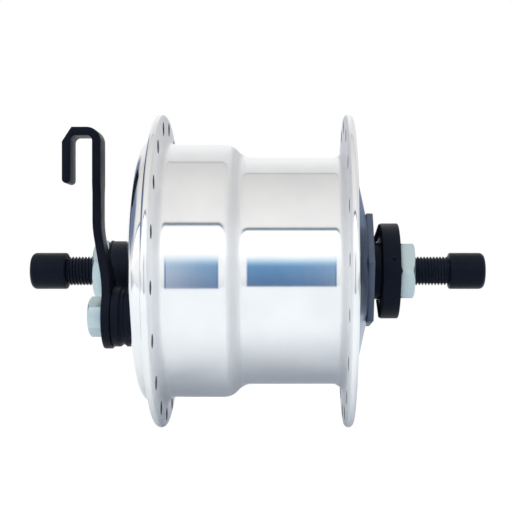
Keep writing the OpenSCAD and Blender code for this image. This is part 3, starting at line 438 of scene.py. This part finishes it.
def polished(name, dark, light, rough, depth, drawn, turned_gloss=None):
    """Turned and polished aluminium: lines in the gloss, which is drawn round the axle, and faint clouds.

    With turned_gloss, the gloss falls to that roughness where the piece's attribute says unpolished.
    """
    material = bpy.data.materials.new(name)
    material.use_nodes = True
    nodes, link = material.node_tree.nodes, material.node_tree.links.new
    shader = nodes["Principled BSDF"]
    shader.inputs["Metallic"].default_value = 1.0
    shader.inputs["Anisotropic"].default_value = drawn
    shader.inputs["Anisotropic Rotation"].default_value = 0.25
    lines = nodes.new("ShaderNodeGroup")
    lines.node_tree = lathe_lines
    lines.inputs["Lines per metre"].default_value = 4200
    lines.inputs["Depth"].default_value = depth
    colour = nodes.new("ShaderNodeValToRGB")
    colour.color_ramp.elements[0].position = 0.35
    colour.color_ramp.elements[0].color = (*dark, 1)
    colour.color_ramp.elements[1].position = 0.65
    colour.color_ramp.elements[1].color = (*light, 1)
    link(lines.outputs["Clouds"], colour.inputs["Fac"])
    link(colour.outputs["Color"], shader.inputs["Base Color"])
    gloss = nodes.new("ShaderNodeMapRange")
    gloss.inputs["From Min"].default_value = 0.3
    gloss.inputs["From Max"].default_value = 0.7
    gloss.inputs["To Min"].default_value = rough[0]
    gloss.inputs["To Max"].default_value = rough[1]
    link(lines.outputs["Lines"], gloss.inputs["Value"])
    finish = gloss.outputs["Result"]
    if turned_gloss:
        share = nodes.new("ShaderNodeAttribute")
        share.attribute_name = "unpolished"
        dull = nodes.new("ShaderNodeMix")
        dull.inputs["B"].default_value = turned_gloss
        link(share.outputs["Fac"], dull.inputs["Factor"])
        link(finish, dull.inputs["A"])
        finish = dull.outputs["Result"]
    link(finish, shader.inputs["Roughness"])
    link(lines.outputs["Normal"], shader.inputs["Normal"])
    tangent = nodes.new("ShaderNodeTangent")
    tangent.direction_type = "RADIAL"
    tangent.axis = "Y"
    link(tangent.outputs["Tangent"], shader.inputs["Tangent"])
    return material


polished_shell = polished(
    "polished shell", dark=(0.83, 0.845, 0.865), light=(0.89, 0.905, 0.92), rough=(0.08, 0.13),
    depth=0.06, drawn=0.7, turned_gloss=0.65,
)
finished(hub_shell, polished_shell)

# each flange has its spoke holes on one circle, countersunk on both faces, the two rings ten degrees apart
spoke_circle_r, spokes_a_side = 45, 18
hole_r, hole_half, mouth_r, mouth_half = 1.65, 0.9, 2.55, 1.8
# the walls of the spoke holes are coloured near black, which paints the shade inside the holes onto the
# bright aluminium
hole_wall_painted_shade = grained(
    "hole wall painted shade", dark=(0.05, 0.055, 0.075), light=(0.11, 0.115, 0.14), rough=(0.45, 0.6),
    scale=1500, depth=0.2, metallic=0.6,
)
spoke_drills = []
for flange, first_hole in ((left_flange, 4), (right_flange, -6)):
    countersunk = [
        (0, -mouth_half), (mouth_r, -mouth_half), (hole_r, -hole_half),
        (hole_r, hole_half), (mouth_r, mouth_half), (0, mouth_half),
    ]
    spoke_drill = turned("spoke_drill", [(r, flange + y) for r, y in countersunk], 32)
    finished(spoke_drill, hole_wall_painted_shade)
    for hole in range(spokes_a_side):
        tool = spoke_drill.copy()
        tool.data = spoke_drill.data.copy()
        bpy.context.scene.collection.objects.link(tool)
        around = math.radians(360 / spokes_a_side * hole + first_hole)
        tool.location = Vector((math.sin(around), 0, math.cos(around))) * spoke_circle_r / 1000
        spoke_drills.append(tool)
    bpy.data.objects.remove(spoke_drill)
cut_by(hub_shell, spoke_drills)

# the polishing wheel doesn't reach the corners under the flanges and the step between the barrels, so the
# finish fades out there as the wall gets steeper
inside_r, full_polish, no_polish = 35, 0.2, 0.7
unpolished = hub_shell.data.attributes.new("unpolished", "FLOAT", "POINT")
for vertex, mark in zip(hub_shell.data.vertices, unpolished.data):
    x, y, z = vertex.co * 1000
    if right_flange < y < left_flange and math.hypot(x, z) > inside_r:
        steep = (abs(vertex.normal.y) - full_polish) / (no_polish - full_polish)
        steep = min(max(steep, 0), 1)
        mark.value = steep * steep * (3 - 2 * steep)
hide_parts("hub_shell")
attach(hub_shell, "hub")


# Drum liner. A ring of cast iron for the linings to rub on, because aluminium would wear too soon.
# It is shrunk into the wide end of the shell and bored in place.
liner_iron = grained(
    "liner iron", dark=(0.24, 0.24, 0.245), light=(0.36, 0.36, 0.365), rough=(0.3, 0.42),
    scale=1500, depth=0.1, metallic=1.0,
)
finished(cad["drum_liner"], liner_iron)


# Brake shoes. Two cast aluminium shoes with bonded linings, which hang on a ground steel anchor pin.
# Two springs of steel wire are hooked into both shoes and pull them off the drum and on to the cam.
cam_x, cam_z = -19.968, -13.672
cast_aluminium = grained(
    "cast aluminium", dark=(0.42, 0.42, 0.43), light=(0.55, 0.55, 0.56), rough=(0.4, 0.55),
    scale=1100, depth=0.3, metallic=1.0,
)
lining_compound = grained(
    "friction lining", dark=(0.07, 0.055, 0.045), light=(0.16, 0.13, 0.1), rough=(0.7, 0.85),
    scale=1300, depth=0.5,
)
for node in ("upper_shoe", "lower_shoe"):
    finished(cad[node], cast_aluminium)
for node in ("upper_lining", "lower_lining"):
    finished(cad[node], lining_compound)
finished(cad["anchor_pin"], ground_steel)


def cad_copy(node, name):
    """A copy of a CAD node's shape as one clean mesh, left in edit mode with all of it selected."""
    bpy.ops.object.select_all(action="DESELECT")
    piece = cad[node].copy()
    piece.data = cad[node].data.copy()
    piece.parent = None
    piece.hide_viewport = False
    piece.hide_render = False
    for key in list(piece.keys()):
        del piece[key]
    piece.name = name
    bpy.context.scene.collection.objects.link(piece)
    piece.select_set(True)
    bpy.context.view_layer.objects.active = piece
    bpy.ops.object.mode_set(mode="EDIT")
    bpy.ops.mesh.select_all(action="SELECT")
    bpy.ops.mesh.remove_doubles(threshold=1e-6)
    bpy.ops.mesh.customdata_custom_splitnormals_clear()
    return piece


# each spring is cut at its middle into two halves, each reaching from the middle to the shoe it hooks into;
# the cut faces the way the shoes part, which is square to the line from the anchor pin to the cam
shoes_apart = Vector((cam_z, 0, -cam_x)).normalized()
for node in ("cam_spring", "anchor_spring"):
    for shoe, pull in (("upper", shoes_apart), ("lower", -shoes_apart)):
        half = cad_copy(node, f"{node}_{shoe}_half")
        bpy.ops.mesh.bisect(plane_co=(0, 0, 0), plane_no=pull, use_fill=True, clear_inner=True)
        bpy.ops.object.mode_set(mode="OBJECT")
        smoothed(half, 65)
        finished(half, spring_steel)
        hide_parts(node)
        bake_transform(half)


# Brake plate. A dished aluminium plate, turned and polished like the shell, that closes the drum's mouth.
# A raised pad on it takes the reaction arm's rivets, and a counterbore takes the cam bush.
plate_bore_r, plate_flat_r, plate_crown = 4.53, 12.0, 38.0
rim_r, rim_wall, rim_low, rim_high = 36.65, 1.0, 32.2, 34.2
dome_r, dome_steps = 36.05, 24
dome = []
for step in range(dome_steps + 1):
    inward = step / dome_steps
    dome.append((
        dome_r - (dome_r - plate_flat_r) * inward,
        plate_crown - (plate_crown - plate_seat) * (1 - inward) ** 2,
    ))
brake_plate = turned("brake_plate_turned", (
    [(plate_bore_r, plate_seat), (plate_flat_r, plate_seat), (rim_r - rim_wall, rim_low), (rim_r, rim_low),
     (rim_r, rim_high)]
    + dome
    + [(plate_bore_r, plate_crown)]
), shell_facets)
bush_seat_r, seat_low, seat_high = 8.95, 31, 40
bpy.ops.object.select_all(action="DESELECT")
bpy.ops.mesh.primitive_cylinder_add(
    vertices=32, radius=bush_seat_r / 1000, depth=(seat_high - seat_low) / 1000, rotation=(math.pi / 2, 0, 0),
    location=(cam_x / 1000, (seat_low + seat_high) / 2000, cam_z / 1000),
)
cut_by(brake_plate, [bpy.context.object])
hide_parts("brake_plate")
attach(brake_plate, "axle_set")
polished_plate = polished(
    "polished plate", dark=(0.84, 0.845, 0.855), light=(0.90, 0.905, 0.91), rough=(0.05, 0.08),
    depth=0.01, drawn=0.0,
)
finished(brake_plate, polished_plate)


def eased(piece, width, segments):
    """Rounds the sharp edges of a piece by a width in millimetres."""
    bpy.ops.object.select_all(action="DESELECT")
    piece.select_set(True)
    bpy.context.view_layer.objects.active = piece
    ease = piece.modifiers.new("ease", "BEVEL")
    ease.width = width / 1000
    ease.segments = segments
    ease.limit_method = "ANGLE"
    ease.angle_limit = math.radians(30)
    ease.use_clamp_overlap = True
    bpy.ops.object.modifier_apply(modifier="ease")
    return smoothed(piece, 35)


pad_near, pad_far, pad_half, pad_low, pad_high = 8, 29, 8, 34.3, 37.98
plate_pad = block((pad_near, pad_low, -pad_half), (pad_far, pad_high, pad_half))
plate_pad.name = "brake_plate_pad"
bpy.ops.object.transform_apply(location=True, rotation=True, scale=True)
eased(plate_pad, width=0.8, segments=3)
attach(plate_pad, "axle_set")
finished(plate_pad, polished_plate)


# Reaction arm. A forged steel arm, blacked like the axle, that keeps the brake plate from turning.
# Its eye is clamped on the axle under a thin washer, and two rivets tie it to the plate's pad.
def eased_copy(node, name, body, material, width, segments=2):
    """A copy of a CAD node's shape with its edges rounded, which then stands for the node."""
    piece = cad_copy(node, name)
    bpy.ops.mesh.dissolve_limited(angle_limit=math.radians(1.5), delimit=set())
    bpy.ops.mesh.normals_make_consistent(inside=False)
    bpy.ops.object.mode_set(mode="OBJECT")
    eased(piece, width, segments)
    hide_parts(node)
    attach(piece, body)
    finished(piece, material)


satin_black = grained(
    "satin black coat", dark=(0.0025, 0.0032, 0.0065), light=(0.006, 0.0075, 0.014), rough=(0.34, 0.46),
    scale=2400, depth=0.10, specular=0.12, tint=cool_gloss,
)
zinc_plate = grained(
    "zinc plate", dark=(0.45, 0.56, 0.60), light=(0.58, 0.70, 0.735), rough=(0.30, 0.42),
    scale=1900, depth=0.10, metallic=0.95,
)
eased_copy(
    "reaction_arm", "reaction_arm_forged", "axle_set", black_oxide,
    width=0.5, segments=3,
)
eased_copy("locknut_washer", "washer_stamped", "axle_set", satin_black, width=0.12)
eased_copy("arm_rivets", "arm_rivets_headed", "axle_set", zinc_plate, width=0.25)


# Cam bush. A black moulded spool with one groove round it, pressed into the brake plate's counterbore.
# It carries the ground steel cam spindle, whose flat end spreads the shoes.
moulded_black = grained(
    "moulded black", dark=(0.0025, 0.0032, 0.0065), light=(0.007, 0.0085, 0.016), rough=(0.36, 0.5),
    scale=1700, depth=0.14, specular=0.12, tint=cool_gloss,
)
eased_copy("cam_bush", "cam_bush_moulded", "axle_set", moulded_black, width=0.25)
finished(cad["cam_spindle"], ground_steel)


# Brake arm. A steel strip, cranked outwards and bent to an open hook, coated satin black.
# It sits on the squared end of the cam spindle under a plated nut.
eased_copy(
    "brake_arm", "brake_arm_bent", "arm_set", satin_black,
    width=0.45, segments=3,
)
eased_copy("cam_nut", "cam_nut_plated", "arm_set", zinc_plate, width=0.25)


# Locknuts. Thin steel hexagon nuts with both faces crowned, zinc plated.
# One on each end of the axle holds the set together, and the fork sits against their outer faces.
eased_copy("brake_locknut", "brake_locknut_plated", "axle_set", zinc_plate, width=0.25)
eased_copy("dynamo_locknut", "dynamo_locknut_plated", "axle_set", zinc_plate, width=0.25)


# End cover. A cone of turned aluminium with a satin finish, coloured dark blue-grey as painted shade and dark
# reflection, that closes the dynamo's end.
# It is pressed into the shell's bore and carries the right bearing in its middle.
# the dark blue-grey colour paints shade and dark reflections onto the silver aluminium; the satin gloss and
# the lathe lines are its own
cover_painted_shade = polished(
    "cover with painted shade", dark=(0.28, 0.345, 0.46), light=(0.34, 0.405, 0.52), rough=(0.20, 0.32),
    depth=0.10, drawn=0.6,
)
cover_r, hex_seat_r, cover_back, cone_back = 32.27, 16.03, -23.0, -27.4
cone_rim, cone_foot, cone_top, cover_face = -31.15, (32.0, -31.48), (18.4, -34.6), -34.7
bearing_stop, hex_seat, cover_face_r = -24.0, -32.0, 18.1
end_cover = turned("end_cover_turned", [
    (web_hole_r, cover_back), (boss_r, cover_back), (boss_r, cone_back), (cover_r, cone_back),
    (cover_r, cone_rim), cone_foot, cone_top, (cover_face_r, cover_face), (hex_seat_r, cover_face),
    (hex_seat_r, hex_seat), (bearing_r, hex_seat), (bearing_r, bearing_stop), (web_hole_r, bearing_stop),
], shell_facets)
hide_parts("end_cover")
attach(end_cover, "hub")
finished(end_cover, cover_painted_shade)


# Hexagonal cap. A steel cap with six flats for a spanner and a coarse blue-grey coat.
# It is screwed into the end cover and holds the right bearing in its seat.
blue_grey = grained(
    "blue-grey coat", dark=(0.053, 0.074, 0.120), light=(0.092, 0.123, 0.188), rough=(0.42, 0.58),
    scale=1500, depth=0.35, metallic=0.25,
)
eased_copy("hex_cap", "hex_cap_coated", "hub", blue_grey, width=0.4)


# Clamp sleeve and terminal ring. The black sleeve presses on the bearing, and the moulded ring beside it
# holds two tinned blades for the lighting cable.
finished(cad["clamp_sleeve"], black_oxide)
eased_copy("terminal_ring", "terminal_ring_moulded", "axle_set", moulded_black, width=0.15)
tinned_brass = grained(
    "tinned brass", dark=(0.52, 0.50, 0.44), light=(0.66, 0.64, 0.58), rough=(0.25, 0.38),
    scale=2200, depth=0.06, metallic=1.0,
)
eased_copy("terminal_blades", "terminal_blades_tinned", "axle_set", tinned_brass, width=0.12)


# End caps. Soft black rubber caps with a rounded closed end that has a shallow dimple.
# They are pushed over both threaded ends of the axle and pull off along it.
cap_rubber = grained(
    "cap rubber", dark=(0.0025, 0.0032, 0.0062), light=(0.006, 0.0074, 0.0135), rough=(0.34, 0.46),
    scale=1300, depth=0.10, specular=0.13, tint=cool_gloss,
)
cap_r, cap_bore_r, cap_depth, cap_length = 5.7, 4.6, 9.2, 11.2
mouth_round, end_round = 0.6, 1.6
dimple_r, dimple_floor_r, dimple_floor = 2.2, 1.9, 11.1
cap_outline = (
    [(cap_bore_r, 0), (cap_r - mouth_round, 0)]
    + arc((cap_r - mouth_round, mouth_round), mouth_round, -90, 0, 5)
    + [(cap_r, cap_length - end_round)]
    + arc((cap_r - end_round, cap_length - end_round), end_round, 0, 90, 10)
    + [(dimple_r, cap_length), (dimple_floor_r, dimple_floor), (0, dimple_floor), (0, cap_depth),
       (cap_bore_r, cap_depth)]
)
for node, body, mouth, way in (
    ("brake_cap", "brake_end_cap", 58.9, 1), ("dynamo_cap", "dynamo_end_cap", -61.1, -1)
):
    cap = turned(node + "_rubber", [(r, mouth + way * y) for r, y in cap_outline], axle_facets)
    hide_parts(node)
    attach(cap, body)
    finished(cap, cap_rubber)


# Studio. A pale table under the hub, and a world that is white to the camera. What reflects sees a soft
# box, a warm ceiling with a beam, a dark room behind the camera and two unlit walls. One broad lamp and
# the camera at the photograph's place, in metres.
table_height, table_front, table_back, table_width = -0.0495, -0.2, 0.8, 0.7
table_middle = ((table_front + table_back) / 2, 0, table_height)
bpy.ops.object.select_all(action="DESELECT")
bpy.ops.mesh.primitive_plane_add(size=1, location=table_middle)
floor = bpy.context.object
floor.name = "floor"
bpy.ops.object.mode_set(mode="EDIT")
bpy.ops.mesh.select_all(action="SELECT")
bpy.ops.transform.resize(value=(table_back - table_front, table_width, 1), center_override=table_middle)
bpy.ops.mesh.subdivide(number_cuts=4)
bpy.ops.object.mode_set(mode="OBJECT")


def pale_floor():
    """A matt pale table that is nearly white to the camera and keeps the hub's shadow."""
    material = bpy.data.materials.new("pale floor")
    material.use_nodes = True
    nodes, link = material.node_tree.nodes, material.node_tree.links.new
    nodes.remove(nodes["Principled BSDF"])
    matt = nodes.new("ShaderNodeBsdfDiffuse")
    matt.inputs["Color"].default_value = (0.77, 0.81, 0.855, 1)
    lit = nodes.new("ShaderNodeEmission")
    lit.inputs["Strength"].default_value = 1.1
    seen = nodes.new("ShaderNodeLightPath")
    share = nodes.new("ShaderNodeMapRange")
    share.inputs["To Min"].default_value = 0.1
    share.inputs["To Max"].default_value = 0.9
    link(seen.outputs["Is Camera Ray"], share.inputs["Value"])
    mix = nodes.new("ShaderNodeMixShader")
    link(share.outputs["Result"], mix.inputs["Fac"])
    link(matt.outputs[0], mix.inputs[1])
    link(lit.outputs[0], mix.inputs[2])
    link(mix.outputs[0], nodes["Material Output"].inputs["Surface"])
    return material


finished(floor, pale_floor())

world = bpy.data.worlds.new("studio")
bpy.context.scene.world = world
world.use_nodes = True
world_nodes, world_link = world.node_tree.nodes, world.node_tree.links.new


def worked(operation, *values):
    """A maths node fed from sockets or numbers."""
    node = world_nodes.new("ShaderNodeMath")
    node.operation = operation
    for socket, value in zip(node.inputs, values):
        if isinstance(value, (int, float)):
            socket.default_value = value
        else:
            world_link(value, socket)
    return node.outputs[0]


def between(value, low, high):
    """0 below low, 1 above high and a soft rise from one to the other."""
    node = world_nodes.new("ShaderNodeMapRange")
    node.interpolation_type = "SMOOTHSTEP"
    node.inputs["From Min"].default_value = low
    node.inputs["From Max"].default_value = high
    world_link(value, node.inputs["Value"])
    return node.outputs["Result"]


def mixed(factor, first, second):
    """The first light where the factor is 0 and the second where it is 1."""
    node = world_nodes.new("ShaderNodeMix")
    node.data_type = "RGBA"
    world_link(factor, node.inputs["Factor"])
    for socket, value in ((node.inputs["A"], first), (node.inputs["B"], second)):
        if isinstance(value, tuple):
            socket.default_value = value
        else:
            world_link(value, socket)
    return node.outputs["Result"]


def ramp(value, stops):
    """Light that follows a value, from (place, light) stops, where a light is one grey or three parts."""
    node = world_nodes.new("ShaderNodeValToRGB")
    elements = node.color_ramp.elements
    while len(elements) < len(stops):
        elements.new(0.5)
    for element, (place, light) in zip(elements, sorted(stops)):
        element.position = place
        element.color = (light, light, light, 1) if isinstance(light, float) else (*light, 1)
    world_link(value, node.inputs["Fac"])
    return node.outputs["Color"]


ray = world_nodes.new("ShaderNodeTexCoord")
split = world_nodes.new("ShaderNodeSeparateXYZ")
world_link(ray.outputs["Generated"], split.inputs[0])
back, across, up = split.outputs["X"], split.outputs["Y"], split.outputs["Z"]
turn = worked("ARCTAN2", up, worked("MULTIPLY", back, -1))


def round_axle(stops):
    """Light by degrees round the axle: 0 at the camera, 90 overhead and 180 at the backdrop."""
    return ramp(
        worked("MULTIPLY_ADD", turn, 0.5 / math.pi, 0.5),
        [((degrees / 180 + 1) / 2, light) for degrees, light in stops],
    )


soft_box, box_edge, beam, ceiling = 1.3, (0.05, 0.12, 0.18), (0.40, 0.39, 0.43), (0.73, 0.72, 0.70)
lit_room = round_axle([
    (-180, 0.95), (-175, (0.45, 0.50, 0.60)), (-30, (0.55, 0.60, 0.68)), (-4, 1.0), (10, 1.05),
    (20, soft_box), (40.4, soft_box), (40.7, box_edge), (42.8, box_edge), (43.1, (1.0, 0.98, 0.96)),
    (70, (0.89, 0.87, 0.85)), (112, ceiling), (113.4, ceiling), (113.9, beam), (114.6, beam),
    (115.1, (0.82, 0.80, 0.78)), (145, 0.97), (180, 0.95),
])
# behind the camera the room is dark, between the table's edge and the soft box
dark_room = round_axle([(-20, (0.04, 0.115, 0.27)), (4, (0.085, 0.27, 0.52)), (12, (0.45, 0.75, 0.95))])
below_box = worked("SUBTRACT", 1, between(turn, math.radians(6), math.radians(16)))
middle = worked("MULTIPLY", between(across, -0.18, 0.0), worked("SUBTRACT", 1, between(across, 0.06, 0.18)))
room = mixed(worked("MULTIPLY", below_box, middle), lit_room, dark_room)


def unlit_wall(foot, top, where):
    """The room with a dark wall between two heights, where the mask says."""
    wall = ramp(up, [
        (0.3 * foot, 1.0), (foot, (0.18, 0.23, 0.36)), (top, (0.18, 0.22, 0.34)),
        (1.4 * top, 0.85), (1.0, 0.8),
    ])
    return mixed(where, room, wall)


# the room is unlit low behind the dynamo's side, and along the brake's side
dynamo_side = between(worked("MULTIPLY", across, -1), 0.11, 0.18)
room = unlit_wall(0.05, 0.14, worked("MULTIPLY", between(back, 0.45, 0.65), dynamo_side))
brake_side = between(worked("MULTIPLY_ADD", back, 0.35, across), 0.70, 0.80)
brake_side = worked("MULTIPLY", brake_side, worked("SUBTRACT", 1, between(across, 0.95, 1.0)))
room = unlit_wall(0.12, 0.54, worked("MULTIPLY", between(back, -0.3, 0.0), brake_side))
path = world_nodes.new("ShaderNodeLightPath")
seen = worked("MAXIMUM", path.outputs["Is Camera Ray"], path.outputs["Is Transmission Ray"])
dimmed = world_nodes.new("ShaderNodeMix")
dimmed.data_type = "RGBA"
dimmed.blend_type = "MULTIPLY"
dimmed.inputs["B"].default_value = (0.48, 0.54, 0.63, 1)
world_link(path.outputs["Is Diffuse Ray"], dimmed.inputs["Factor"])
world_link(room, dimmed.inputs["A"])
world_link(mixed(seen, dimmed.outputs["Result"], (1, 1, 1, 1)), world_nodes["Background"].inputs["Color"])

bpy.ops.object.select_all(action="DESELECT")
bpy.ops.object.light_add(type="AREA", location=(-0.26, 0.2, 0.88))
lamp = bpy.context.object
lamp.name = "soft_lamp"
lamp.data.size = 1
lamp.data.energy = 11.5
lamp.data.color = (1.0, 0.93, 0.80)
lamp.visible_glossy = False
lamp.rotation_euler = (-lamp.location).to_track_quat("-Z", "Y").to_euler()

camera_distance, camera_along = 0.362, -0.0121
photo_px, focal_px, shift_x_px, shift_y_px = 512, 1146, -37, 14.9
bpy.ops.object.camera_add(
    location=(-camera_distance, camera_along, 0), rotation=(math.pi / 2, 0, -math.pi / 2),
)
camera = bpy.context.object
camera.name = "photo_camera"
camera.data.sensor_width = 36
camera.data.lens = focal_px / photo_px * camera.data.sensor_width
camera.data.shift_x = shift_x_px / photo_px
camera.data.shift_y = shift_y_px / photo_px
camera.data.clip_start = 0.01
bpy.context.scene.camera = camera
bpy.context.scene.view_settings.view_transform = "Standard"
